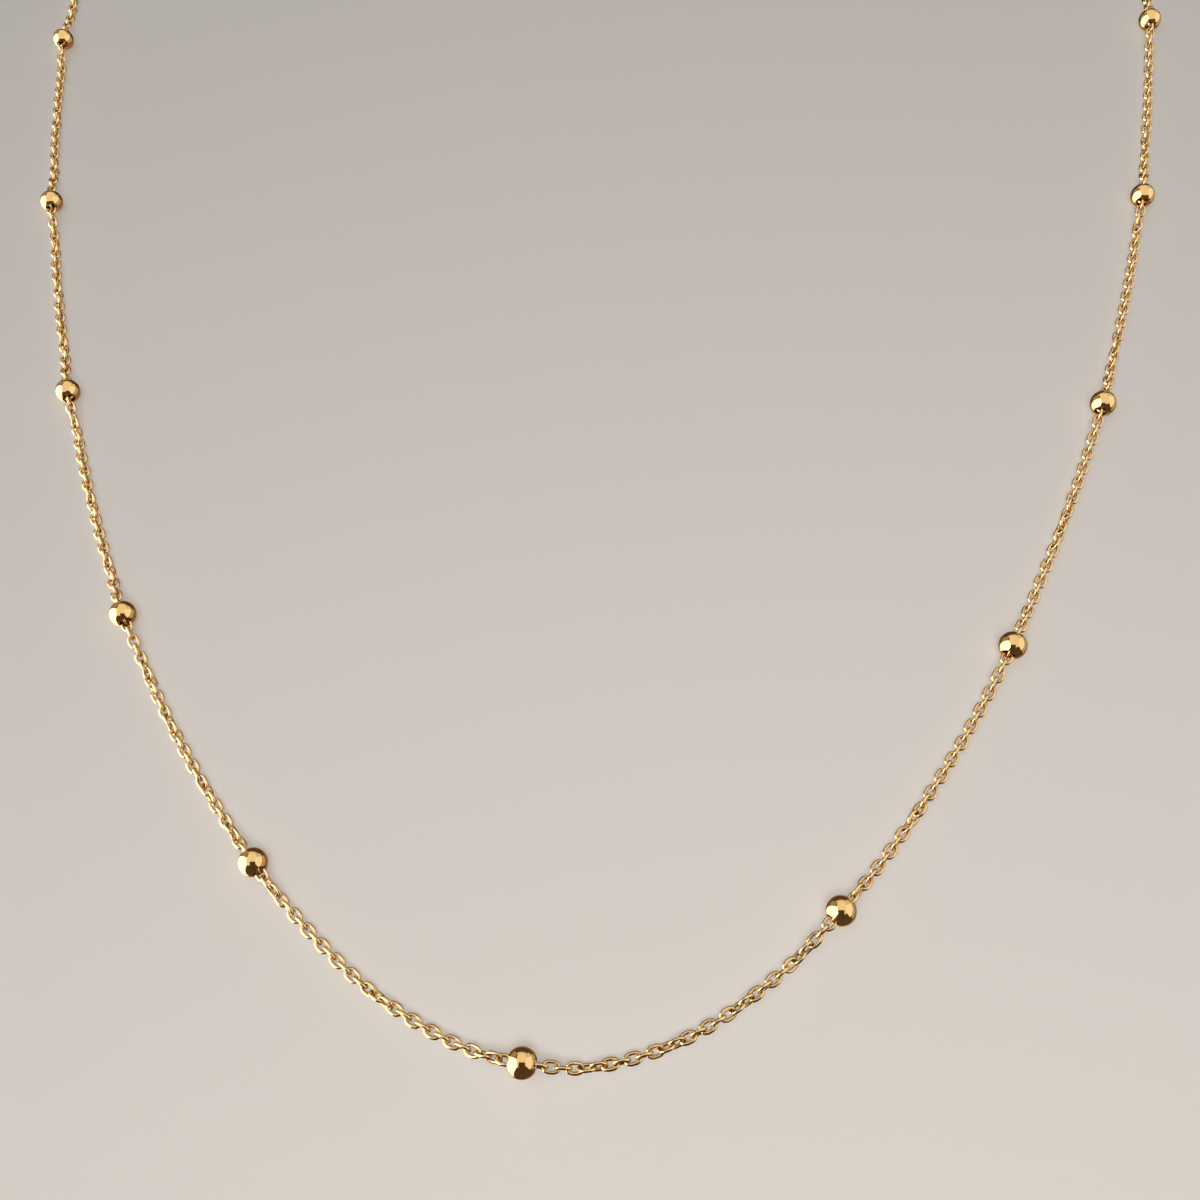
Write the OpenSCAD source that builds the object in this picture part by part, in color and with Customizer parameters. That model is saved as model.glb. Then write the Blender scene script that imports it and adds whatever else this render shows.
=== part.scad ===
// Choker of fine cable chain with small round balls at even stations, closed by a spring ring clasp.
// It lies closed on a level surface: the balls touch the surface, and between them the chain
// comes down to it.
// +X is to the right, +Y from the front of the loop to the clasp at its back, +Z up from the surface.

/* [Chain] */
// Width of a link across the chain
link_w = 0.82; // [0.70:0.01:0.86]
// Length that one link adds to the chain
link_pitch = 0.682; // [0.660:0.001:0.690]
// Links from the clasp to the middle of the first ball
first_links = 33; // [20:1:36]
// Links from the middle of one ball to the middle of the next
ball_links = 32; // [28:1:32]
// Length on each side of a ball over which the chain comes down to the surface
fall_len = 3.0; // [2.0:0.5:4.0]

/* [Balls] */
// Diameter of a ball
ball_d = 1.85; // [1.70:0.05:2.40]
// Diameter of the hole through a ball
ball_hole = 0.90; // [0.90:0.02:1.20]

/* [Clasp] */
// Outer diameter of the spring ring
clasp_d = 6.0; // [5.0:0.1:6.5]
// Thickness of the spring ring's tube
clasp_tube = 1.0; // [0.9:0.1:1.0]
// Outer diameter of the eye soldered to the spring ring
eye_d = 2.1; // [2.0:0.1:2.2]
// Length of the thumb lever outside the spring ring's tube
lever_len = 0.6; // [0.4:0.1:1.0]
// Outer diameter of a jump ring
ring_d = 2.8; // [2.7:0.1:3.0]
// Thickness of the wire of the jump rings, the eye and the lever
ring_wire = 0.4; // [0.30:0.05:0.40]
// Tilt of the jump rings out of the level, in degrees
ring_tilt = 45; // [45:1:50]

/* [Hidden] */
ball_count = 17;

// Course of the chain seen from above, in millimetres, from the clasp down the right side,
// round the front and up the left side. The two ends of the course are added from the clasp.
route = [
    [15.5, 72.0], [25.5, 68.5], [34.5, 63.5], [42.0, 56.0], [47.5, 47.5], [50.5, 37.0], [51.0, 26.5],
    [50.0, 15.0], [47.0, 0.0], [43.5, -13.0], [40.0, -23.5], [36.5, -32.5], [32.0, -42.0], [26.5, -52.0],
    [21.0, -60.0], [15.5, -66.5], [10.5, -71.0], [5.5, -74.0], [-1.0, -75.5], [-5.0, -75.0],
    [-11.5, -72.0], [-18.0, -66.5], [-23.5, -60.0], [-28.0, -53.5], [-32.0, -46.5], [-36.0, -38.0],
    [-40.0, -27.5], [-43.5, -16.5], [-47.0, -2.5], [-49.5, 12.0], [-50.5, 22.0], [-50.5, 33.0],
    [-48.5, 44.0], [-44.0, 54.5], [-37.0, 63.0], [-28.0, 69.5], [-17.5, 73.0]
];
// Distance of the clasp behind the middle of the loop
back_y = 73.5;

// Radii of the middle lines of the round wires
ring_r = (ring_d - ring_wire) / 2;
eye_r = (eye_d - ring_wire) / 2;
clasp_r = (clasp_d - clasp_tube) / 2;
// Room between the eye and the jump ring in it, and between the spring ring and the jump ring round it
eye_gap = 0.1;
clasp_gap = 0.2;
// Depth to which the eye is sunk into the spring ring where it is soldered
solder = 0.2;
// Distance from each end of the course to the jump ring's wire, which goes through the last link
hook_in = 0.2;
// Length that the closed clasp and its two rings take up between the ends of the course, and its half
ring_span = 4 * ring_r + 2 * eye_r + 2 * clasp_r - ring_wire - eye_gap - clasp_gap - solder;
half_span = ring_span / 2 - hook_in;
// Places of the clasp's parts along X, from the right to the left
clasp_ring_x = half_span + hook_in - ring_r;
eye_x = clasp_ring_x - ring_r + ring_wire + eye_gap - eye_r;
clasp_x = eye_x - eye_d / 2 + solder - clasp_d / 2;
end_ring_x = clasp_x - clasp_r + (clasp_tube + ring_wire) / 2 + clasp_gap - ring_r;
// Height of the clasp, whose tilted jump rings touch the surface
clasp_z = ring_r * sin(ring_tilt) + ring_wire / 2;
// Direction of the thumb lever round the spring ring
lever_angle = 60;

// Heights of the chain's middle line: between balls, in a ball and at the two rings
low_z = link_w / 2;
ball_z = ball_d / 2;
// Straight stretch of chain on each side of a ball's middle, which goes on a little outside the ball
lead = 0.1;
mouth = ball_d / 2 + lead;
// Room between the tube's end faces and the jump rings, and the distance of those faces from the
// ends of the course
tube_gap = 0.1;
end_gap = hook_in + ring_wire / 2 + tube_gap;

// The curve through the course: a cubic between each two points, which leaves each point along
// the parabola through that point and its two neighbours
course = concat([[half_span, back_y]], route, [[-half_span, back_y]]);
span_count = len(course) - 1;
steps = 12;
gaps = [for (i = [0 : span_count - 1]) norm(course[i + 1] - course[i])];
ways = [for (i = [0 : span_count - 1]) (course[i + 1] - course[i]) / gaps[i]];
inner_slopes = [for (i = [1 : span_count - 1])
    (ways[i] * gaps[i - 1] + ways[i - 1] * gaps[i]) / (gaps[i] + gaps[i - 1])];
slopes = concat([2 * ways[0] - inner_slopes[0]], inner_slopes,
    [2 * ways[span_count - 1] - inner_slopes[span_count - 2]]);
function cubic(i, t) =
    (2 * pow(t, 3) - 3 * pow(t, 2) + 1) * course[i]
    + (pow(t, 3) - 2 * pow(t, 2) + t) * gaps[i] * slopes[i]
    + (3 * pow(t, 2) - 2 * pow(t, 3)) * course[i + 1]
    + (pow(t, 3) - pow(t, 2)) * gaps[i] * slopes[i + 1];
curve = concat(
    [for (i = [0 : span_count - 1], k = [0 : steps - 1]) cubic(i, k / steps)],
    [course[span_count]]
);

// Length along the curve up to each of its points
curve_end = len(curve) - 1;
function piece(k) = norm(curve[min(k + 1, curve_end)] - curve[k]);
lengths = [for (k = 0, total = 0; k <= curve_end; total = total + piece(k), k = k + 1) total];
chain_len = lengths[curve_end];
x_table = [for (k = [0 : curve_end]) [lengths[k], curve[k][0]]];
y_table = [for (k = [0 : curve_end]) [lengths[k], curve[k][1]]];
function flat_point(s) = [lookup(s, x_table), lookup(s, y_table)];
// Direction of the course, seen over a short stretch on each side
probe = 0.5;
function heading(s) = let (d = flat_point(s + probe) - flat_point(s - probe)) atan2(d[1], d[0]);

// The chain holds a whole number of links, and the balls sit at every so many of them
link_count = round(chain_len / link_pitch);
link_step = chain_len / link_count;
function ball_at(i) = (first_links + (i - 1) * ball_links) * link_step;
// The two ends of the straight stretch through a ball
function ball_ends(i) = [flat_point(ball_at(i) - mouth), flat_point(ball_at(i) + mouth)];

// Places of the tube's rings between two balls: level out of the ball, down on the surface, one more
// for each bend_angle that this stretch of the loop turns through, and up to the next ball
bend_angle = 20;
function turned(a, b) = abs((heading(b) - heading(a) + 540) % 360 - 180);
function between(a, b) = let (
    inset = mouth + fall_len,
    parts = 1 + floor(turned(a, b) / bend_angle)
) concat([a + mouth], [for (j = [0 : parts]) a + inset + j / parts * (b - a - 2 * inset)], [b - mouth]);
tube_start = end_gap;
tube_end = chain_len - end_gap;
stations = concat(
    between(tube_start - mouth, ball_at(1)),
    [for (i = [1 : ball_count - 1]) each between(ball_at(i), ball_at(i + 1))],
    between(ball_at(ball_count), tube_end + mouth)
);
// Height of the chain at a place along it
same = 0.01;
function at_ball(s) = min([for (i = [1 : ball_count]) abs(s - ball_at(i))]) < mouth + same;
function at_clasp(s) = s < tube_start + same || s > tube_end - same;
function height(s) = at_ball(s) ? ball_z : at_clasp(s) ? clasp_z : low_z;
rings = [for (s = stations) concat(flat_point(s), height(s))];

// One polyhedron swept through the rings with eight sides
sides = 8;
last = len(rings) - 1;
function ring_corners(k) = let (
    d = rings[min(k + 1, last)] - rings[max(k - 1, 0)],
    along = d / norm(d),
    across = [-along[1], along[0], 0] / norm([along[0], along[1]]),
    up = cross(along, across)
) [for (j = [0 : sides - 1]) let (a = j * 360 / sides)
    rings[k] + link_w / 2 * (cos(a) * across + sin(a) * up)];

function bead_name(i) = str("bead_", i < 10 ? "0" : "", i);

module chain() {
    color("goldenrod")
        polyhedron(
            points = [for (k = [0 : last]) each ring_corners(k)],
            faces = concat(
                [[for (j = [0 : sides - 1]) j]],
                [for (k = [0 : last - 1], j = [0 : sides - 1]) let (n = (j + 1) % sides)
                    [k * sides + j, (k + 1) * sides + j, (k + 1) * sides + n, k * sides + n]],
                [[for (j = [sides - 1 : -1 : 0]) last * sides + j]]
            )
        );
}

module bead(i) {
    ends = ball_ends(i);
    middle = (ends[0] + ends[1]) / 2;
    way = ends[1] - ends[0];
    color("gold")
        translate([middle[0], middle[1], ball_z])
            rotate([0, 90, atan2(way[1], way[0])])
                difference() {
                    sphere(d = ball_d, $fn = 64);
                    cylinder(d = ball_hole, h = 2 * ball_d, center = true, $fn = 48);
                }
}

module wire_ring(radius, wire) {
    rotate_extrude($fn = 72)
        translate([radius, 0])
            circle(d = wire, $fn = 24);
}

module clasp() {
    color("gold") {
        translate([clasp_x, back_y, clasp_z]) {
            wire_ring(clasp_r, clasp_tube);
            rotate([0, 0, lever_angle])
                translate([clasp_r, 0, 0])
                    rotate([0, 90, 0])
                        cylinder(d = ring_wire, h = clasp_tube / 2 + lever_len, $fn = 24);
        }
        translate([eye_x, back_y, clasp_z])
            wire_ring(eye_r, ring_wire);
    }
}

module jump_ring(x) {
    color("gold")
        translate([x, back_y, clasp_z])
            rotate([ring_tilt, 0, 0])
                wire_ring(ring_r, ring_wire);
}

module clasp_ring() {
    jump_ring(clasp_ring_x);
}

module end_ring() {
    jump_ring(end_ring_x);
}

chain();
for (i = [1 : ball_count]) bead(i);
clasp();
clasp_ring();
end_ring();
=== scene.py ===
import bpy
import bmesh
import numpy as np
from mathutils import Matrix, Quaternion, Vector


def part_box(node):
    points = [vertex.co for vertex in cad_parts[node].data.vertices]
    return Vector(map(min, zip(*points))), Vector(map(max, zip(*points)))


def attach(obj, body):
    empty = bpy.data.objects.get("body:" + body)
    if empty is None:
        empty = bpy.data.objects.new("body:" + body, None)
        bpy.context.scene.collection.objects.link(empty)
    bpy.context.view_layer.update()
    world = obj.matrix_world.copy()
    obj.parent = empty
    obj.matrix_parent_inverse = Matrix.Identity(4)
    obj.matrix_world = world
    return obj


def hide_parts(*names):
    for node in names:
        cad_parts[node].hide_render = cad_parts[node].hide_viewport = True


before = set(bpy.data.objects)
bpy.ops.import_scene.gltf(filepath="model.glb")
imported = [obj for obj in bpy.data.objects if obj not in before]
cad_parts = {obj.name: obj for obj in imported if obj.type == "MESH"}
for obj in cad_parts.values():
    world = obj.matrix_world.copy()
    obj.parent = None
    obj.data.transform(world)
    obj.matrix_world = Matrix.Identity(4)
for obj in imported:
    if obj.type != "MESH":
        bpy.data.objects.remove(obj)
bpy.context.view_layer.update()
scene = bpy.context.scene
print("frame loaded:", len(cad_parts), "nodes")

mm = 0.001  # one millimetre in metres

# Camera: stands over the front of the loop and looks down and slightly to the left, a little rolled
view = {
    "place": (5.76 * mm, -88.64 * mm, 79.12 * mm),
    "aim": (0.72 * mm, -44.18 * mm, 0.0),
    "roll": 7.5,              # degrees, the image's right side sinks
    "lens": 39.0,             # millimetres, on a sensor of 36
    "sensor": 36.0,
    "near": 1 * mm,           # what is nearer or farther than these isn't seen
    "far": 10.0,
}


def makeCamera(values):
    # Looks along the line from its place to its aim, and is turned about that line by the roll
    data = bpy.data.cameras.new("photoView")
    data.lens = values["lens"]
    data.sensor_width = values["sensor"]
    data.clip_start = values["near"]
    data.clip_end = values["far"]
    camera = bpy.data.objects.new("photoView", data)
    scene.collection.objects.link(camera)
    sight = Vector(values["aim"]) - Vector(values["place"])
    turn = Quaternion((0, 0, -1), np.radians(values["roll"]))
    camera.rotation_mode = "QUATERNION"
    camera.rotation_quaternion = sight.to_track_quat("-Z", "Y") @ turn
    camera.location = values["place"]
    scene.camera = camera


makeCamera(view)
print("camera ready")

# Course of the chain seen from above, in metres: its two ends at the clasp, and between them the
# route down the right side, round the front and up the left side; and how links and balls follow it
course = {
    "halfSpan": 0.0051,       # the ends of the course lie this far to the right and left
    "backY": 0.0735,          # and this far back
    "route": (
        (0.0155, 0.0720), (0.0255, 0.0685), (0.0345, 0.0635), (0.0420, 0.0560), (0.0475, 0.0475),
        (0.0505, 0.0370), (0.0510, 0.0265), (0.0500, 0.0150), (0.0470, 0.0000), (0.0435, -0.0130),
        (0.0400, -0.0235), (0.0365, -0.0325), (0.0320, -0.0420), (0.0265, -0.0520), (0.0210, -0.0600),
        (0.0155, -0.0665), (0.0105, -0.0710), (0.0055, -0.0740), (-0.0010, -0.0755), (-0.0050, -0.0750),
        (-0.0115, -0.0720), (-0.0180, -0.0665), (-0.0235, -0.0600), (-0.0280, -0.0535),
        (-0.0320, -0.0465), (-0.0360, -0.0380), (-0.0400, -0.0275), (-0.0435, -0.0165),
        (-0.0470, -0.0025), (-0.0495, 0.0120), (-0.0505, 0.0220), (-0.0505, 0.0330), (-0.0485, 0.0440),
        (-0.0440, 0.0545), (-0.0370, 0.0630), (-0.0280, 0.0695), (-0.0175, 0.0730),
    ),
    "steps": 12,              # points of the curve from one route point to the next
    "pitch": 0.682 * mm,      # length that one link adds
    "firstLinks": 33,         # links from the clasp to the first ball
    "ballLinks": 32,          # links from one ball to the next
    "ballCount": 17,
    "mouth": 1.025 * mm,      # the chain runs straight this far on each side of a ball's middle
}


def hermiteCurve(points, steps):
    # Between two points p and q, d apart: (2t3 - 3t2 + 1) p + (t3 - 2t2 + t) d m
    # + (3t2 - 2t3) q + (t3 - t2) d n, with t from 0 to 1. The slopes m and n at a point are the
    # mean of the directions on its two sides, each weighted with the other side's length.
    gaps = np.linalg.norm(np.diff(points, axis=0), axis=1)[:, None]
    ways = np.diff(points, axis=0) / gaps
    inner = (ways[1:] * gaps[:-1] + ways[:-1] * gaps[1:]) / (gaps[1:] + gaps[:-1])
    slopes = np.vstack([2 * ways[:1] - inner[:1], inner, 2 * ways[-1:] - inner[-1:]])
    t = (np.arange(steps) / steps)[None, :, None]
    start, end = points[:-1, None], points[1:, None]
    leave, arrive = (gaps * slopes[:-1])[:, None], (gaps * slopes[1:])[:, None]
    curve = ((2 * t**3 - 3 * t**2 + 1) * start + (t**3 - 2 * t**2 + t) * leave
             + (3 * t**2 - 2 * t**3) * end + (t**3 - t**2) * arrive)
    return np.vstack([curve.reshape(-1, 2), points[-1:]])


def lengthsAlong(curve):
    # Length up to each point of a line: the sum of the distances between the points before it
    return np.concatenate([[0.0], np.cumsum(np.linalg.norm(np.diff(curve, axis=0), axis=1))])


def pointsAt(s, lengths, points):
    # Places at the lengths s along a line, with x and y going evenly from each point to the next
    return np.stack([np.interp(s, lengths, points[:, 0]), np.interp(s, lengths, points[:, 1])], 1)


endPoint = np.array([[course["halfSpan"], course["backY"]]])
coursePoints = np.vstack([endPoint, np.array(course["route"]), endPoint * (-1, 1)])
curve = hermiteCurve(coursePoints, course["steps"])
curveLengths = lengthsAlong(curve)
chainLength = curveLengths[-1]
linkCount = round(chainLength / course["pitch"])
linkStep = chainLength / linkCount
ballPlaces = (course["firstLinks"] + course["ballLinks"] * np.arange(course["ballCount"])) * linkStep

# The links follow the same curve, but straight from the one mouth of a ball to the other
mouths = np.stack([ballPlaces - course["mouth"], ballPlaces + course["mouth"]], 1)
isFree = np.abs(curveLengths[:, None] - ballPlaces).min(1) > course["mouth"]
threadLengths = np.sort(np.concatenate([curveLengths[isFree], mouths.ravel()]))
thread = pointsAt(threadLengths, curveLengths, curve)
print("course:", round(chainLength / mm, 2), "mm,", linkCount, "links")


# Shapes and meshes

def gridFaces(rows, columns, closedRows, closedColumns):
    # Quads of a grid of points numbered row by row; a closed direction joins its last line to its first
    row, column = np.meshgrid(
        np.arange(rows - (not closedRows)), np.arange(columns - (not closedColumns)), indexing="ij")
    nextRow, nextColumn = (row + 1) % rows, (column + 1) % columns
    corners = [row * columns + column, nextRow * columns + column,
               nextRow * columns + nextColumn, row * columns + nextColumn]
    return np.stack(corners, -1).reshape(-1, 4)


def turnedShape(profile, sides):
    # A half section of (x, distance from the x axis) turned about that axis: x stays, and the other
    # two are the distance times the cosine and the sine of the turn
    turn = np.arange(sides) / sides * 2 * np.pi
    return np.stack([
        np.broadcast_to(profile[:, :1], (len(profile), sides)),
        profile[:, 1:] * np.cos(turn),
        profile[:, 1:] * np.sin(turn)], -1).reshape(-1, 3)


def turnedLevel(points, angle):
    # Points turned about the upright axis: (x cos - y sin, x sin + y cos, z)
    c, s = np.cos(angle), np.sin(angle)
    return points @ np.array([(c, s, 0), (-s, c, 0), (0, 0, 1)])


def tubeRing(radius, tubeRadii, rounds, sides):
    # Torus: at each angle a of the ring a circle of the tube's radius there, at
    # ((R + r cos b) cos a, (R + r cos b) sin a, r sin b)
    a = (np.arange(rounds) / rounds * 2 * np.pi)[:, None]
    b = (np.arange(sides) / sides * 2 * np.pi)[None, :]
    r = np.broadcast_to(tubeRadii, (rounds,))[:, None]
    reach = radius + r * np.cos(b)
    points = np.stack([reach * np.cos(a), reach * np.sin(a), r * np.sin(b)], -1).reshape(-1, 3)
    return points, gridFaces(rounds, sides, True, True)


def makeMesh(name, points, faces, tone=None, shade=None):
    # Quads put into the mesh as whole arrays; tone has a value for each face, shade for each point
    mesh = bpy.data.meshes.new(name)
    mesh.vertices.add(len(points))
    mesh.vertices.foreach_set("co", np.asarray(points, np.float32).ravel())
    mesh.loops.add(faces.size)
    mesh.loops.foreach_set("vertex_index", faces.astype(np.int32).ravel())
    mesh.polygons.add(len(faces))
    mesh.polygons.foreach_set("loop_start", np.arange(0, faces.size, 4, dtype=np.int32))
    mesh.update(calc_edges=True)
    mesh.polygons.foreach_set("use_smooth", np.ones(len(faces), bool))
    for label, domain, values in (("tone", "FACE", tone), ("shade", "POINT", shade)):
        if values is not None:
            attribute = mesh.attributes.new(label, "FLOAT", domain)
            attribute.data.foreach_set("value", np.asarray(values, np.float32))
    mesh.update()
    return mesh


def makePiece(name, mesh, material, nodes):
    # A finished piece of the choker, which stands for the named nodes of the frame
    piece = bpy.data.objects.new(name, mesh)
    scene.collection.objects.link(piece)
    mesh.materials.append(material)
    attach(piece, "root")
    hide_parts(*nodes)
    return piece


# Gold: one worn and polished surface that also carries painted shade, with other values on the links,
# the balls and the clasp
surface = {
    "driftScale": 900.0,                    # drifts of colour and dullness, about a millimetre wide
    "driftDetail": 3.0,
    "driftShare": 0.6,                      # of the way from gold to deep gold, by the drift
    "toneShare": 0.6,                       # and by a link's own tone
    "toneStart": -0.1,
    "hairScale": (9000.0, 1200.0, 5000.0),  # hairlines are long along the second way
    "hairTurn": (0.3, 0.5, 0.9),            # radians
    "hairDetail": 4.0,
    "hairRoughness": 0.6,
    "shadeRoughness": 0.35,                 # roughness that full tarnish and painted shade adds
    "bumpStrength": 0.5,
}


def newGroup(name, inputs, outputs):
    # An empty shader group with these named sockets
    group = bpy.data.node_groups.new(name, "ShaderNodeTree")
    for label, kind, value in inputs:
        socket = group.interface.new_socket(label, in_out="INPUT", socket_type=kind)
        socket.default_value = value
    for label, kind in outputs:
        group.interface.new_socket(label, in_out="OUTPUT", socket_type=kind)
    return group, group.nodes.new("NodeGroupInput"), group.nodes.new("NodeGroupOutput")


def feed(tree, socket, value):
    # Gives a socket another node's output, or a plain value
    if isinstance(value, bpy.types.NodeSocket):
        tree.links.new(value, socket)
    else:
        socket.default_value = value


def mathNode(tree, operation, *values):
    # MULTIPLY is a b, and MULTIPLY_ADD is a b + c
    node = tree.nodes.new("ShaderNodeMath")
    node.operation = operation
    for socket, value in zip(node.inputs, values):
        feed(tree, socket, value)
    return node.outputs["Value"]


def mixNode(tree, share, first, second):
    # Colour that goes from the first to the second as the share goes from 0 to 1
    node = tree.nodes.new("ShaderNodeMix")
    node.data_type = "RGBA"
    feed(tree, node.inputs["Factor"], share)
    feed(tree, node.inputs["A"], first)
    feed(tree, node.inputs["B"], second)
    return node.outputs["Result"]


def noiseNode(tree, place, scale, detail, roughness=0.5):
    # Soft noise from 0 to 1 at the place times the scale. The detail is how many finer layers it has,
    # each twice as fine as the one before and the roughness times as strong.
    node = tree.nodes.new("ShaderNodeTexNoise")
    feed(tree, node.inputs["Vector"], place)
    feed(tree, node.inputs["Scale"], scale)
    feed(tree, node.inputs["Detail"], detail)
    feed(tree, node.inputs["Roughness"], roughness)
    return node.outputs["Fac"]


def makeGoldGroup():
    # Surface of worn, polished gold: slow drifts of colour, a fine burnish of hairlines, soft spots
    # where it has dulled, and, by the shade, tarnish with painted shade in hollows, at links' ends and
    # in holes. The colour goes from gold to deep gold by a share of the drift plus a share of the tone,
    # and from there to the tarnish and shade colour by the shade. The roughness is the polish, plus the
    # wear times the drift, plus a share of the shade. The height is the hairlines times their strength.
    group, given, result = newGroup(
        "wornAndShadedGold",
        [("Gold", "NodeSocketColor", (1, 1, 1, 1)), ("Deep Gold", "NodeSocketColor", (1, 1, 1, 1)),
         ("Tarnish And Shade", "NodeSocketColor", (0, 0, 0, 1)), ("Shade", "NodeSocketFloat", 0.0),
         ("Tone", "NodeSocketFloat", 0.5), ("Polish", "NodeSocketFloat", 0.1),
         ("Wear", "NodeSocketFloat", 0.1), ("Hairlines", "NodeSocketFloat", 0.3)],
        [("Colour", "NodeSocketColor"), ("Roughness", "NodeSocketFloat"), ("Height", "NodeSocketFloat")])
    given, result = given.outputs, result.inputs
    place = group.nodes.new("ShaderNodeTexCoord").outputs["Object"]
    drift = noiseNode(group, place, surface["driftScale"], surface["driftDetail"])
    stretch = group.nodes.new("ShaderNodeMapping")
    feed(group, stretch.inputs["Vector"], place)
    feed(group, stretch.inputs["Scale"], surface["hairScale"])
    feed(group, stretch.inputs["Rotation"], surface["hairTurn"])
    stretched = stretch.outputs["Vector"]
    hairs = noiseNode(group, stretched, 1.0, surface["hairDetail"], surface["hairRoughness"])
    tone = mathNode(group, "MULTIPLY_ADD", given["Tone"], surface["toneShare"], surface["toneStart"])
    share = mathNode(group, "MULTIPLY_ADD", drift, surface["driftShare"], tone)
    colour = mixNode(group, share, given["Gold"], given["Deep Gold"])
    # Tarnish and painted shade: the colour turns towards the tarnish and shade colour by the shade
    feed(group, result["Colour"], mixNode(group, given["Shade"], colour, given["Tarnish And Shade"]))
    dull = mathNode(group, "MULTIPLY_ADD", drift, given["Wear"], given["Polish"])
    rough = mathNode(group, "MULTIPLY_ADD", given["Shade"], surface["shadeRoughness"], dull)
    feed(group, result["Roughness"], rough)
    feed(group, result["Height"], mathNode(group, "MULTIPLY", hairs, given["Hairlines"]))
    return group


goldGroup = makeGoldGroup()


def goldMaterial(name, values):
    # Plain metal shader fed by the gold group; each attribute of the mesh goes to the socket beside it
    material = bpy.data.materials.new(name)
    material.use_nodes = True
    tree = material.node_tree
    shader = tree.nodes["Principled BSDF"]
    shader.inputs["Metallic"].default_value = 1.0
    wornAndShaded = tree.nodes.new("ShaderNodeGroup")
    wornAndShaded.node_tree = goldGroup
    feed(tree, wornAndShaded.inputs["Gold"], (*values["gold"], 1))
    feed(tree, wornAndShaded.inputs["Deep Gold"], (*values["deepGold"], 1))
    feed(tree, wornAndShaded.inputs["Tarnish And Shade"], (*values["tarnishAndShade"], 1))
    feed(tree, wornAndShaded.inputs["Polish"], values["polish"])
    feed(tree, wornAndShaded.inputs["Wear"], values["wear"])
    feed(tree, wornAndShaded.inputs["Hairlines"], values["hairlines"])
    for attribute, socket in values["attributes"]:
        stored = tree.nodes.new("ShaderNodeAttribute")
        stored.attribute_name = attribute
        feed(tree, wornAndShaded.inputs[socket], stored.outputs["Fac"])
    feed(tree, shader.inputs["Base Color"], wornAndShaded.outputs["Colour"])
    feed(tree, shader.inputs["Roughness"], wornAndShaded.outputs["Roughness"])
    bump = tree.nodes.new("ShaderNodeBump")
    feed(tree, bump.inputs["Distance"], values["bump"])
    feed(tree, bump.inputs["Strength"], surface["bumpStrength"])
    feed(tree, bump.inputs["Height"], wornAndShaded.outputs["Height"])
    feed(tree, shader.inputs["Normal"], bump.outputs["Normal"])
    return material


# Each tarnish colour is also the colour of the painted shade that the shade attribute mixes in: on the
# links' inner sides and ends, on the wire inside the balls, and in the balls' holes
linkGold = goldMaterial("linkGold", {
    "gold": (1.0, 0.765, 0.41), "deepGold": (0.98, 0.69, 0.335), "tarnishAndShade": (0.26, 0.09, 0.015),
    "polish": 0.02, "wear": 0.05, "hairlines": 1.0, "bump": 0.001 * mm,
    "attributes": (("tone", "Tone"), ("shade", "Shade"))})
ballGold = goldMaterial("ballGold", {
    "gold": (1.0, 0.71, 0.34), "deepGold": (0.96, 0.64, 0.29), "tarnishAndShade": (0.13, 0.065, 0.025),
    "polish": 0.01, "wear": 0.05, "hairlines": 1.0, "bump": 0.001 * mm,
    "attributes": (("shade", "Shade"),)})
claspGold = goldMaterial("claspGold", {
    "gold": (1.0, 0.71, 0.36), "deepGold": (0.95, 0.61, 0.28), "tarnishAndShade": (0.20, 0.10, 0.04),
    "polish": 0.06, "wear": 0.14, "hairlines": 1.0, "bump": 0.003 * mm, "attributes": ()})
print("materials ready")

# Balls: smooth drilled beads
ball = {
    "radius": 0.925 * mm,
    "hole": 0.45 * mm,        # radius of the hole
    "lip": 0.03 * mm,         # radius of the rounded edge of the hole
    "arcParts": 30,           # points from the one edge to the other
    "lipParts": 4,            # points of an edge between the arc and the hole
    "turnParts": 56,          # points round the hole
    "boreShade": 0.4,         # painted shade and tarnish in the hole
}


def ballProfile():
    # Half section of a drilled ball, a closed outline of (distance along the hole, distance from its
    # middle): the outer arc, a rounded lip, the straight bore and the other lip. The tarnish and painted
    # shade of each point comes with it: none outside, and growing round the lips to a set value in the
    # bore.
    lip, hole, radius = ball["lip"], ball["hole"], ball["radius"]
    lipMiddle = hole + lip
    reach = np.sqrt((radius - lip) ** 2 - lipMiddle**2)
    rim = np.arctan2(lipMiddle, reach)
    arc = np.linspace(rim, np.pi - rim, ball["arcParts"])
    outer = radius * np.stack([np.cos(arc), np.sin(arc)], 1)
    bend = np.linspace(rim, -np.pi / 2, ball["lipParts"] + 2)[1:]
    nearLip = np.stack([reach + lip * np.cos(bend), lipMiddle + lip * np.sin(bend)], 1)
    farLip = nearLip * (-1, 1)
    lipShade = ball["boreShade"] * np.arange(1, len(farLip) + 1) / len(farLip)
    shade = np.concatenate([np.zeros(len(outer)), lipShade, lipShade[::-1]])
    return np.vstack([outer, farLip, nearLip[::-1]]), shade


def makeBalls():
    # The half section is turned about the hole, and each ball's hole lies along the thread between
    # its two mouths
    profile, profileShade = ballProfile()
    shell = turnedShape(profile, ball["turnParts"])
    # Painted shade and tarnish in the hole, for each point of the ball
    shade = np.repeat(profileShade, ball["turnParts"])
    faces = gridFaces(len(profile), ball["turnParts"], True, True)
    ways = pointsAt(mouths[:, 1], threadLengths, thread) - pointsAt(mouths[:, 0], threadLengths, thread)
    headings = np.arctan2(ways[:, 1], ways[:, 0])
    made = []
    for number in range(1, course["ballCount"] + 1):
        node = f"bead_{number:02d}"
        low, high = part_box(node)
        points = turnedLevel(shell, headings[number - 1]) + np.array((low + high) / 2)
        mesh = makeMesh(f"ball{number:02d}", points, faces, shade=shade)
        made.append(makePiece(f"ball_{number:02d}", mesh, ballGold, [node]))
    return made


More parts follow.
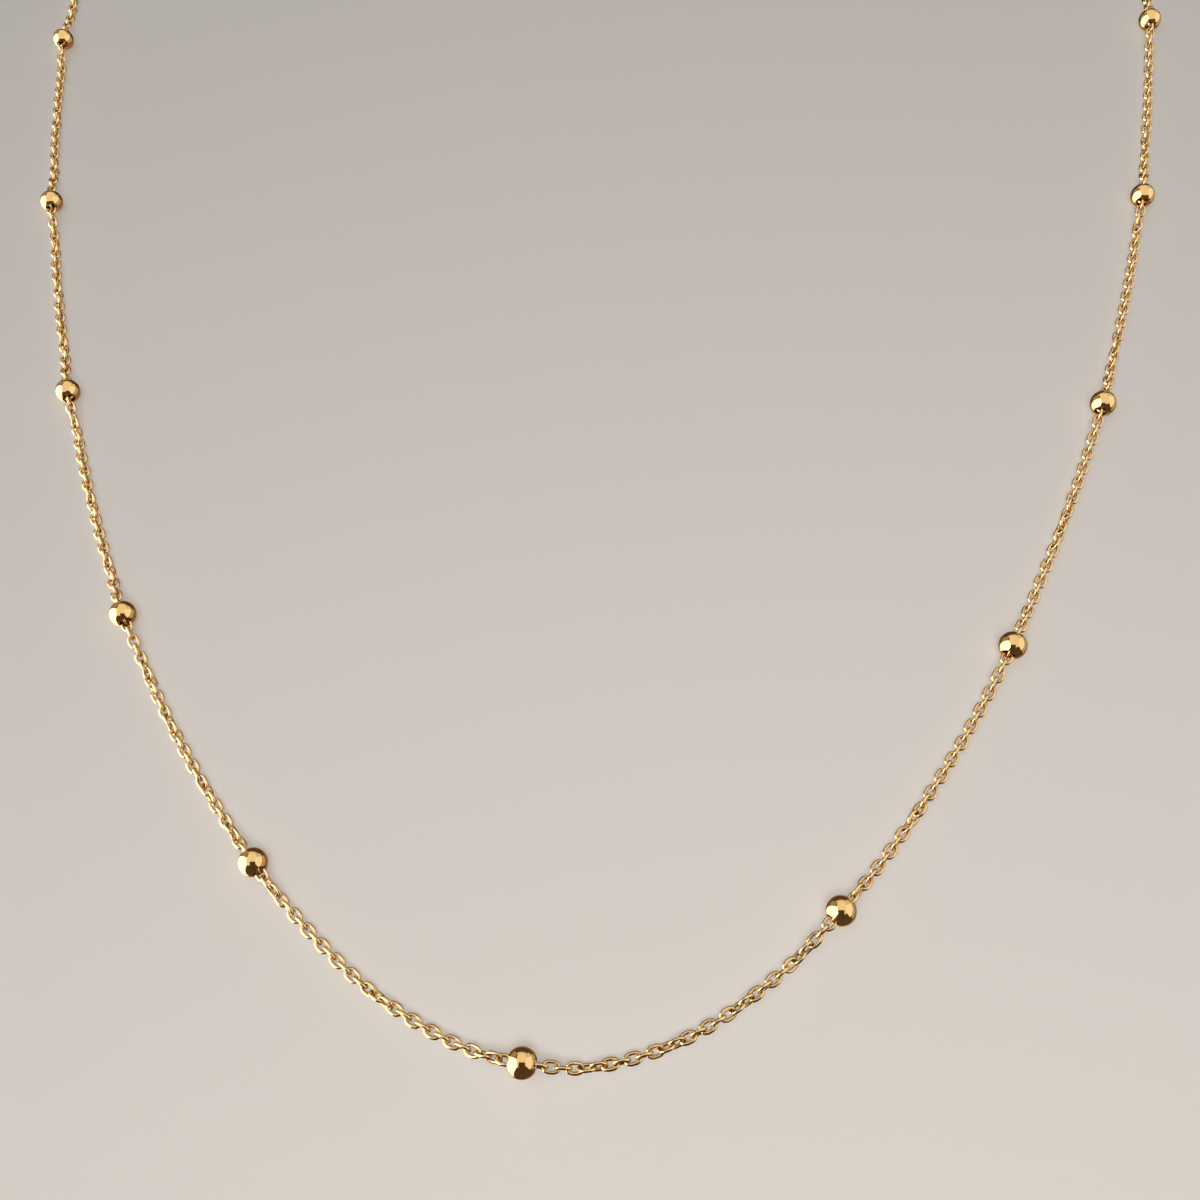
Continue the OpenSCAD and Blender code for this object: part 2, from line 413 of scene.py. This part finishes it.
# Clasp: spring ring with its soldered eye and thumb lever, and the two jump rings
clasp = {
    "tube": 0.5 * mm,         # radius of the spring ring's tube
    "outer": 3.0 * mm,        # outer radius of the spring ring
    "gateTube": 0.42 * mm,    # radius of the bolt where it closes the gate
    "gateFrom": 68.0,         # degrees round the spring ring
    "gateTo": 118.0,
    "gateEase": 2.5,          # degrees over which the tube narrows to the bolt
    "leverAngle": 60.0,       # degrees
    "leverOut": 0.6 * mm,     # length outside the tube
    "leverRound": 0.08 * mm,  # radius of its rounded edge
    "wire": 0.2 * mm,         # radius of the wire of the eye, the lever and the jump rings
    "eyeOuter": 1.05 * mm,    # outer radius of the eye
    "ringOuter": 1.4 * mm,    # outer radius of the jump rings
    "ringTilt": 45.0,         # degrees
    "eyeGap": 0.1 * mm,       # between the eye and the jump ring in it
    "claspGap": 0.2 * mm,     # between the spring ring and the jump ring round it
    "solder": 0.2 * mm,       # depth to which the eye is sunk into the spring ring
    "hookIn": 0.2 * mm,       # from an end of the course to the jump ring's wire
    "springRounds": 144,      # points round the spring ring
    "springSides": 32,        # points round its tube
    "eyeRounds": 64,          # points round the eye
    "ringRounds": 72,         # points round a jump ring
    "wireSides": 20,          # points round the wire of both
    "leverSides": 24,         # points round the lever
    "leverParts": 6,          # points of its rounded edge
    "weld": 1e-7,             # points closer than this in metres become one
    "sharpFrom": 40.0,        # degrees; edges sharper than this aren't smoothed
}
ringRadius = clasp["ringOuter"] - clasp["wire"]
ringHeight = ringRadius * np.sin(np.radians(clasp["ringTilt"])) + clasp["wire"]


def makeRing(name, node, x):
    # A jump ring, tilted about the x axis so that it touches the surface
    tilt = np.radians(clasp["ringTilt"])
    tipped = np.array([(1, 0, 0), (0, np.cos(tilt), np.sin(tilt)), (0, -np.sin(tilt), np.cos(tilt))])
    points, faces = tubeRing(ringRadius, clasp["wire"], clasp["ringRounds"], clasp["wireSides"])
    mesh = makeMesh(name, points @ tipped + (x, course["backY"], ringHeight), faces)
    makePiece(name, mesh, claspGold, [node])


def springShape():
    # The tube narrows to the bolt across the gate: its radius goes evenly from the one to the other
    # over a few degrees
    angles = np.arange(clasp["springRounds"]) / clasp["springRounds"] * 360
    opened = np.clip((angles - clasp["gateFrom"]) / clasp["gateEase"], 0, 1)
    closed = np.clip((clasp["gateTo"] - angles) / clasp["gateEase"], 0, 1)
    radii = clasp["tube"] + (clasp["gateTube"] - clasp["tube"]) * (opened * closed)
    return tubeRing(clasp["outer"] - clasp["tube"], radii, clasp["springRounds"], clasp["springSides"])


def leverShape():
    # A round pin from the tube's middle outwards, turned about its length, with a rounded edge at
    # its end
    wire, soft, sides = clasp["wire"], clasp["leverRound"], clasp["leverSides"]
    reach = clasp["tube"] + clasp["leverOut"]
    bend = np.linspace(0, np.pi / 2, clasp["leverParts"])
    edge = np.stack([reach - soft + soft * np.sin(bend), wire - soft + soft * np.cos(bend)], 1)
    profile = np.vstack([[(0, 0), (0, wire)], edge, [(reach, 0)]])
    pin = turnedShape(profile, sides) + (clasp["outer"] - clasp["tube"], 0, 0)
    faces = gridFaces(len(profile), sides, False, True)[:, ::-1]
    return turnedLevel(pin, np.radians(clasp["leverAngle"])), faces


def makeClasp():
    # From the right end of the course to the left: a jump ring, the eye, the spring ring and the other
    # jump ring, each placed by its radius and the gap to the one before
    wire, tube, outer = clasp["wire"], clasp["tube"], clasp["outer"]
    eyeRadius = clasp["eyeOuter"] - wire
    ringX = course["halfSpan"] + clasp["hookIn"] - ringRadius
    eyeX = ringX - ringRadius + 2 * wire + clasp["eyeGap"] - eyeRadius
    claspX = eyeX - clasp["eyeOuter"] + clasp["solder"] - outer
    endX = claspX - (outer - tube) + tube + wire + clasp["claspGap"] - ringRadius
    makeRing("ring_at_eye", "clasp_ring", ringX)
    makeRing("ring_at_end", "end_ring", endX)
    spring, lever = springShape(), leverShape()
    eye = tubeRing(eyeRadius, wire, clasp["eyeRounds"], clasp["wireSides"])
    shapes = [(points + (x, course["backY"], ringHeight), faces)
              for (points, faces), x in ((spring, claspX), (eye, eyeX), (lever, claspX))]
    return fuse("spring_ring", shapes)


def fuse(name, shapes):
    # One solid, as soldered metal is: points closer than the weld become one, and then each shape is
    # joined to the first by its union with it
    parts = []
    for number, (points, faces) in enumerate(shapes):
        mesh = makeMesh(f"{name}{number}", points, faces)
        work = bmesh.new()
        work.from_mesh(mesh)
        bmesh.ops.remove_doubles(work, verts=work.verts, dist=clasp["weld"])
        bmesh.ops.recalc_face_normals(work, faces=work.faces)
        work.to_mesh(mesh)
        work.free()
        part = bpy.data.objects.new(f"{name}{number}", mesh)
        scene.collection.objects.link(part)
        parts.append(part)
    for other in parts[1:]:
        join = parts[0].modifiers.new("join", "BOOLEAN")
        join.operation = "UNION"
        join.solver = "EXACT"
        join.object = other
    bpy.context.view_layer.update()
    graph = bpy.context.evaluated_depsgraph_get()
    mesh = bpy.data.meshes.new_from_object(parts[0].evaluated_get(graph))
    for part in parts:
        bpy.data.objects.remove(part)
    mesh.name = name
    mesh.polygons.foreach_set("use_smooth", np.ones(len(mesh.polygons), bool))
    mesh.set_sharp_from_angle(angle=np.radians(clasp["sharpFrom"]))
    return makePiece(name, mesh, claspGold, ["clasp"])


# Cable chain: oval links of round wire, each turned a quarter against the next
chain = {
    "width": 0.82 * mm,       # outside width and length of a link
    "length": 1.13 * mm,
    "endWide": 1.14,          # the first and the last link are this much wider, for the jump rings
    "roundness": 2.5,         # 2 for an oval, more for a fuller form
    "wire": 0.195 * mm,       # thickness, from flat to flat of its sides
    "linkSides": 14,          # points round a link
    "wireSides": 6,           # points round its wire
    "endCrowding": 0.12,      # 0 for points spaced evenly, more for points crowded at a link's ends
    "fall": 3.0 * mm,         # stretch over which the chain comes down from a ball to the surface
    "turnOvers": (            # stretches of links over which the chain turns by a quarter of a turn
        (11, 16), (21, 26), (38, 43), (47, 52), (56, 61), (69, 75), (79, 85), (94, 99), (103, 108),
        (114, 119), (127, 132), (136, 141), (147, 155), (163, 168), (181, 187), (204, 214), (243, 248),
        (253, 258), (260, 265), (267, 272), (274, 279), (281, 286), (289, 294), (301, 306), (315, 320),
        (322, 327), (328, 333), (336, 341), (342, 348), (357, 362), (366, 371), (376, 383), (390, 395),
        (399, 404), (407, 412), (421, 427), (431, 436), (445, 450), (454, 459), (470, 475), (481, 486),
        (490, 495), (505, 510), (514, 519), (528, 533), (539, 544), (547, 552)),
    "endLinks": 6.0,          # links from a jump ring to the first flat stretch
    "rollJitter": 3.0,        # degrees
    "tiltJitter": 0.6,        # degrees
    "lift": 0.012 * mm,       # keeps tilted links off the surface
    "sideShade": 0.42,        # tarnish and painted shade on the inner side of the wire, along a link's sides
    "endShade": 0.90,         # and at its two ends, where the next links hang in it
    "insideShade": 0.5,       # painted shade all round the wire inside a ball
    "seed": 7,
}


def linkRoll():
    # Roll of each link in degrees: a quarter turn on every second link, and one more spread evenly over
    # each stretch where the chain turns over; half of one at both ends, where the links stand at 45
    # degrees in the jump rings; and a little play
    quarter = 90.0
    number = np.arange(linkCount)
    fromEnd = np.minimum(number, linkCount - 1 - number)
    standing = quarter / 2 * np.clip(1 - fromEnd / chain["endLinks"], 0, 1)
    ends = standing * np.where(number * 2 < linkCount, -1, 1)
    start, end = np.array(chain["turnOvers"]).T
    turned = (number[:, None] + 0.5 - start) / (end - start)
    play = np.random.default_rng(chain["seed"]).uniform(-1, 1, linkCount) * chain["rollJitter"]
    play[[0, -1]] = 0.0
    return quarter * (number % 2) + quarter * np.clip(turned, 0, 1).sum(1) + ends + play


def chainHeight(s, low):
    # Height of the chain's middle: at the balls' and rings' height near them, then eased down to low
    # with 3t2 - 2t3, where t goes from 0 to 1 along the fall
    held = low.copy()
    stations = [(p, ball["radius"], course["mouth"]) for p in ballPlaces]
    stations += [(0.0, ringHeight, course["pitch"]), (chainLength, ringHeight, course["pitch"])]
    for place, height, flat in stations:
        t = np.clip(1 - (np.abs(s - place) - flat) / chain["fall"], 0, 1)
        held += (height - low) * (3 * t**2 - 2 * t**3)
    return held


def ovalLoop(halfLength, halfWidth, count):
    # Middle line of a link, where |x / A| to the power n and |y / B| to the power n add up to 1:
    # (A c, B s) with c and s the cosine and sine of a to the power 2 / n, with their signs kept. Its
    # outward direction is (cosine to the power 2 - 2 / n over A, sine to the same power over B), made
    # one long. The angles a = b - w sin 2b, with b in even steps, crowd the points towards the ends.
    angle = np.arange(count) / count * 2 * np.pi
    angle = angle - chain["endCrowding"] * np.sin(2 * angle)
    circle = np.stack([np.cos(angle), np.sin(angle)], 1)
    signs, size = np.sign(circle), np.abs(circle)
    power = 2 / chain["roundness"]
    outward = signs * size ** (2 - power) / (halfLength, halfWidth)
    outward /= np.linalg.norm(outward, axis=1)[:, None]
    return signs * size**power * (halfLength, halfWidth), outward


def linkShape():
    # One link, with x along it and z out of its plane: each point of the middle line carries a small
    # polygon in the plane of its outward direction and z, whose flat sides are half the wire away
    halfWire = chain["wire"] / 2
    loop, outward = ovalLoop(
        chain["length"] / 2 - halfWire, chain["width"] / 2 - halfWire, chain["linkSides"])
    turn = (np.arange(chain["wireSides"]) + 0.5) / chain["wireSides"] * 2 * np.pi
    radius = halfWire / np.cos(np.pi / chain["wireSides"])
    reach = loop[:, None] + radius * np.cos(turn)[None, :, None] * outward[:, None]
    rise = np.broadcast_to(radius * np.sin(turn)[None, :, None], reach.shape[:2] + (1,))
    return np.concatenate([reach, rise], 2).reshape(-1, 3), outward, turn


def linkShade(outward, turn, middleAt):
    # Tarnish and painted shade from 0 to 1 at each point of each link: on the side of the wire that
    # faces the hole it is the square of (1 - cos turn) / 2, times more towards the link's two ends, and
    # inside a ball painted shade grows to a set value over a short stretch
    inner = ((1 - np.cos(turn)) / 2) ** 2
    towardsEnd = chain["sideShade"] + (chain["endShade"] - chain["sideShade"]) * outward[:, 0] ** 2
    own = (towardsEnd[:, None] * inner[None, :]).ravel()
    depth = (ball["radius"] - np.abs(middleAt[:, None] - ballPlaces).min(1)) / chain["length"]
    hidden = chain["insideShade"] * np.clip(depth, 0, 1)
    return np.maximum(own[None, :], hidden[:, None]).ravel()


def unitRows(rows):
    # Each row divided by its length
    return rows / np.linalg.norm(rows, axis=1)[:, None]


def linkAxes(ends, rolls):
    # Directions of each link: ahead from joint to joint with a little play, across it by
    # side cos(roll) + up sin(roll), and facing square to both
    ahead = unitRows(np.diff(ends, axis=0))
    side = unitRows(np.cross((0, 0, 1), ahead))
    up = np.cross(ahead, side)
    play = np.random.default_rng(chain["seed"] + 1).uniform(-1, 1, (linkCount, 2))
    play *= np.radians(chain["tiltJitter"])
    play[[0, -1]] = 0.0
    ahead = unitRows(ahead + play[:, :1] * side + play[:, 1:] * up)
    side = unitRows(side - np.sum(side * ahead, 1)[:, None] * ahead)
    up = np.cross(ahead, side)
    across = np.cos(rolls)[:, None] * side + np.sin(rolls)[:, None] * up
    facing = np.cross(ahead, across)
    across[[0, -1]] *= chain["endWide"]
    return np.stack([ahead, across, facing], 1)


def makeLinks():
    # The joints lie one link's step apart along the thread, and every link reaches from one to the next
    oneLink, outward, turn = linkShape()
    joints = np.arange(linkCount + 1) * linkStep
    rolls = np.radians(linkRoll())
    # How far each rolled link reaches down: the most of y sin(roll) + z cos(roll) over its points
    sink = (np.outer(np.sin(rolls), oneLink[:, 1]) + np.outer(np.cos(rolls), oneLink[:, 2])).max(1)
    sink += chain["lift"]
    lowAtJoint = np.maximum(np.append(sink, sink[-1]), np.append(sink[:1], sink))
    ends = np.column_stack([pointsAt(joints, threadLengths, thread), chainHeight(joints, lowAtJoint)])
    middles = (ends[1:] + ends[:-1]) / 2
    # A link's own x, y and z become ahead, across and facing
    points = (np.einsum("pa,kac->kpc", oneLink, linkAxes(ends, rolls)) + middles[:, None]).reshape(-1, 3)
    faces = gridFaces(chain["linkSides"], chain["wireSides"], True, True)
    allFaces = (faces[None] + np.arange(linkCount)[:, None, None] * len(oneLink)).reshape(-1, 4)
    tone = np.repeat(np.random.default_rng(chain["seed"] + 2).random(linkCount), len(faces))
    # Tarnish and painted shade of each point of each link
    shade = linkShade(outward, turn, (joints[1:] + joints[:-1]) / 2)
    mesh = makeMesh("cableLinks", points, allFaces, tone, shade)
    return makePiece("cable_links", mesh, linkGold, ["chain"])


# The choker is put together once the values of all its pieces are known
cableLinks = makeLinks()
print("chain ready:", len(cableLinks.data.polygons), "faces")
balls = makeBalls()
print("balls ready:", len(balls))
springRing = makeClasp()
print("clasp ready:", len(springRing.data.polygons), "faces")

# Floor: a faintly lit panel, so that its shadows stay light
floorPanel = {
    "size": 60.0,             # metres along each side
    "drop": 0.01 * mm,        # below the choker's lowest points
    "colour": (0.715, 0.695, 0.675),
    "roughness": 1.0,
    "glow": (0.13, 0.133, 0.13),
}


def glowMaterial(name, colour, roughness, glow):
    # A surface without gloss, which glows with this radiance by itself
    material = bpy.data.materials.new(name)
    material.use_nodes = True
    shader = material.node_tree.nodes["Principled BSDF"]
    shader.inputs["Base Color"].default_value = (*colour, 1)
    shader.inputs["Roughness"].default_value = roughness
    shader.inputs["Specular IOR Level"].default_value = 0.0
    shader.inputs["Emission Color"].default_value = (*glow, 1)
    shader.inputs["Emission Strength"].default_value = 1.0
    return material


def makeSheet(name, corners, material):
    # One flat face with four corners
    mesh = bpy.data.meshes.new(name)
    mesh.from_pydata(corners, [], [(0, 1, 2, 3)])
    mesh.materials.append(material)
    sheet = bpy.data.objects.new(name, mesh)
    scene.collection.objects.link(sheet)
    return sheet


def makeFloor(values):
    # A level square round the middle, just under the choker, which the gold doesn't mirror
    size, z = values["size"] / 2, -values["drop"]
    corners = [(-size, -size, z), (size, -size, z), (size, size, z), (-size, size, z)]
    paper = glowMaterial("palePaper", values["colour"], values["roughness"], values["glow"])
    floor = makeSheet("floor", corners, paper)
    floor.visible_glossy = False


# Soft light cards that the gold mirrors and the floor doesn't see. Each lies in a plane square to
# one axis (0 x, 1 y, 2 z) at "reach" along it, spans the other two axes from and to these places
# in metres, and glows with this radiance.
cards = {
    "ceiling": {
        "axis": 2, "reach": 0.8, "spans": ((-0.52, 0.62), (-0.80, 1.20)), "glow": (0.80, 0.76, 0.67)},
    "farHigh": {
        "axis": 1, "reach": 1.2, "spans": ((-0.75, 0.80), (0.40, 0.80)), "glow": (0.66, 0.58, 0.50)},
    "farLeft": {
        "axis": 0, "reach": -0.8, "spans": ((0.36, 1.20), (-0.30, 0.90)), "glow": (0.27, 0.21, 0.17)},
    "window": {
        "axis": 0, "reach": -0.8, "spans": ((-0.95, 0.36), (-0.62, 1.22)), "glow": (2.4, 2.4, 2.3)},
    "windowLow": {
        "axis": 0, "reach": -0.8, "spans": ((-0.95, 0.36), (-1.6, -0.62)), "glow": (1.4, 1.4, 1.3)},
    "sideWall": {
        "axis": 0, "reach": 0.8, "spans": ((-0.72, 0.50), (0.0, 1.05)), "glow": (0.92, 0.92, 0.88)},
    "sideFar": {
        "axis": 0, "reach": 0.8, "spans": ((0.50, 1.20), (0.0, 1.05)), "glow": (0.58, 0.58, 0.54)},
    "sideLow": {
        "axis": 0, "reach": 0.8, "spans": ((-0.50, 0.70), (-0.60, 0.0)), "glow": (0.38, 0.34, 0.28)},
    "under": {
        "axis": 2, "reach": -0.5, "spans": ((-0.50, 0.50), (-0.30, 0.60)), "glow": (0.18, 0.105, 0.05)},
}


def addLamp(name, kind, place, power, colour):
    # A lamp that the camera doesn't see
    data = bpy.data.lights.new(name, kind)
    data.energy = power
    data.color = colour
    lamp = bpy.data.objects.new(name, data)
    scene.collection.objects.link(lamp)
    lamp.location = place
    lamp.visible_camera = False
    return lamp


def makeCard(name, values):
    # The radiance of an area lamp is its power over pi times its area
    axis, spans = values["axis"], np.array(values["spans"])
    place, facing = np.zeros(3), np.zeros(3)
    place[axis], facing[axis] = values["reach"], -np.sign(values["reach"])
    place[[k for k in range(3) if k != axis]] = spans.mean(1)
    wide, high = spans[:, 1] - spans[:, 0]
    shine = max(values["glow"])
    card = addLamp(name, "AREA", place, shine * np.pi * wide * high, np.array(values["glow"]) / shine)
    card.data.shape = "RECTANGLE"
    card.data.size, card.data.size_y = wide, high
    card.rotation_mode = "QUATERNION"
    card.rotation_quaternion = Vector(facing).to_track_quat("-Z", "Y")
    card.visible_diffuse = False


# Dark card round the lens, which the balls mirror as a dark patch
lensCard = {
    "wide": 70 * mm,
    "above": 8 * mm,          # from the line of sight to its upper edge
    "below": 140 * mm,        # and to its lower edge
    "behind": 2 * mm,         # from the camera's place back to the card
    "colour": (0.0, 0.0, 0.0),
    "roughness": 0.5,
    "glow": (0.075, 0.048, 0.030),
}


def makeLensCard(values):
    # A sheet square to the camera's sight, just behind its place
    side, above, below, behind = values["wide"] / 2, values["above"], -values["below"], values["behind"]
    camera = scene.camera
    corners = [(-side, above), (side, above), (side, below), (-side, below)]
    points = [camera.location + camera.rotation_quaternion @ Vector((x, y, behind)) for x, y in corners]
    black = glowMaterial("blackCard", values["colour"], values["roughness"], values["glow"])
    card = makeSheet("lensCard", points, black)
    card.visible_camera = False
    card.visible_diffuse = False
    card.visible_shadow = False


# The two lamps of the floor
floorPool = {
    "place": (0.012, -0.14, 0.15),
    "softness": 0.06,         # radius of the lamp in metres
    "glow": 0.56,             # radiance of the floor that it adds straight below it
    "colour": (1.0, 0.91, 0.84),
}
floorFill = {
    "tilt": 15.0,             # degrees off the vertical, from the left
    "spread": 70.0,           # degrees that the light is wide
    "glow": 0.13,             # radiance of the floor that it adds
    "colour": (0.92, 0.98, 1.0),
}


def makeFloorLamps():
    # The gold mirrors neither of them. Straight below a lamp at height h, the floor's radiance is its
    # albedo over pi times the lamp's intensity over h squared; a point lamp's is its power over 4 pi.
    albedo = floorPanel["colour"][0]
    height = floorPool["place"][2]
    power = floorPool["glow"] * np.pi / albedo * height**2 * 4 * np.pi
    pool = addLamp("floorPool", "POINT", floorPool["place"], power, floorPool["colour"])
    pool.data.shadow_soft_size = floorPool["softness"]
    pool.data.use_shadow = False  # the one shadow on the floor is the fill's, which is soft
    pool.visible_glossy = False
    # A sun's strength is what it gives a surface square to it; the floor's radiance is its albedo
    # over pi times that strength times the cosine of the tilt
    tilt = np.radians(floorFill["tilt"])
    strength = floorFill["glow"] * np.pi / albedo / np.cos(tilt)
    fill = addLamp("floorFill", "SUN", (0, 0, 1), strength, floorFill["colour"])
    fill.rotation_euler = (0, -tilt, 0)
    fill.data.angle = np.radians(floorFill["spread"])
    fill.visible_glossy = False


# Surroundings beyond the floor and the cards
room = {
    "mirrored": (0.085, 0.055, 0.035),  # what the gold mirrors where no card stands
    "backdrop": (0.30, 0.29, 0.275),    # what the camera sees above the floor
}


def makeWorld(values):
    # The gold mirrors the dark room; only the camera sees the pale backdrop
    world = bpy.data.worlds.new("room")
    world.use_nodes = True
    tree = world.node_tree
    isSeen = tree.nodes.new("ShaderNodeLightPath").outputs["Is Camera Ray"]
    colour = mixNode(tree, isSeen, (*values["mirrored"], 1), (*values["backdrop"], 1))
    feed(tree, tree.nodes["Background"].inputs["Color"], colour)
    scene.world = world


makeFloor(floorPanel)
for cardName, cardValues in cards.items():
    makeCard(cardName, cardValues)
makeLensCard(lensCard)
makeFloorLamps()
makeWorld(room)
scene.view_settings.view_transform = "Standard"
print("floor and light ready")
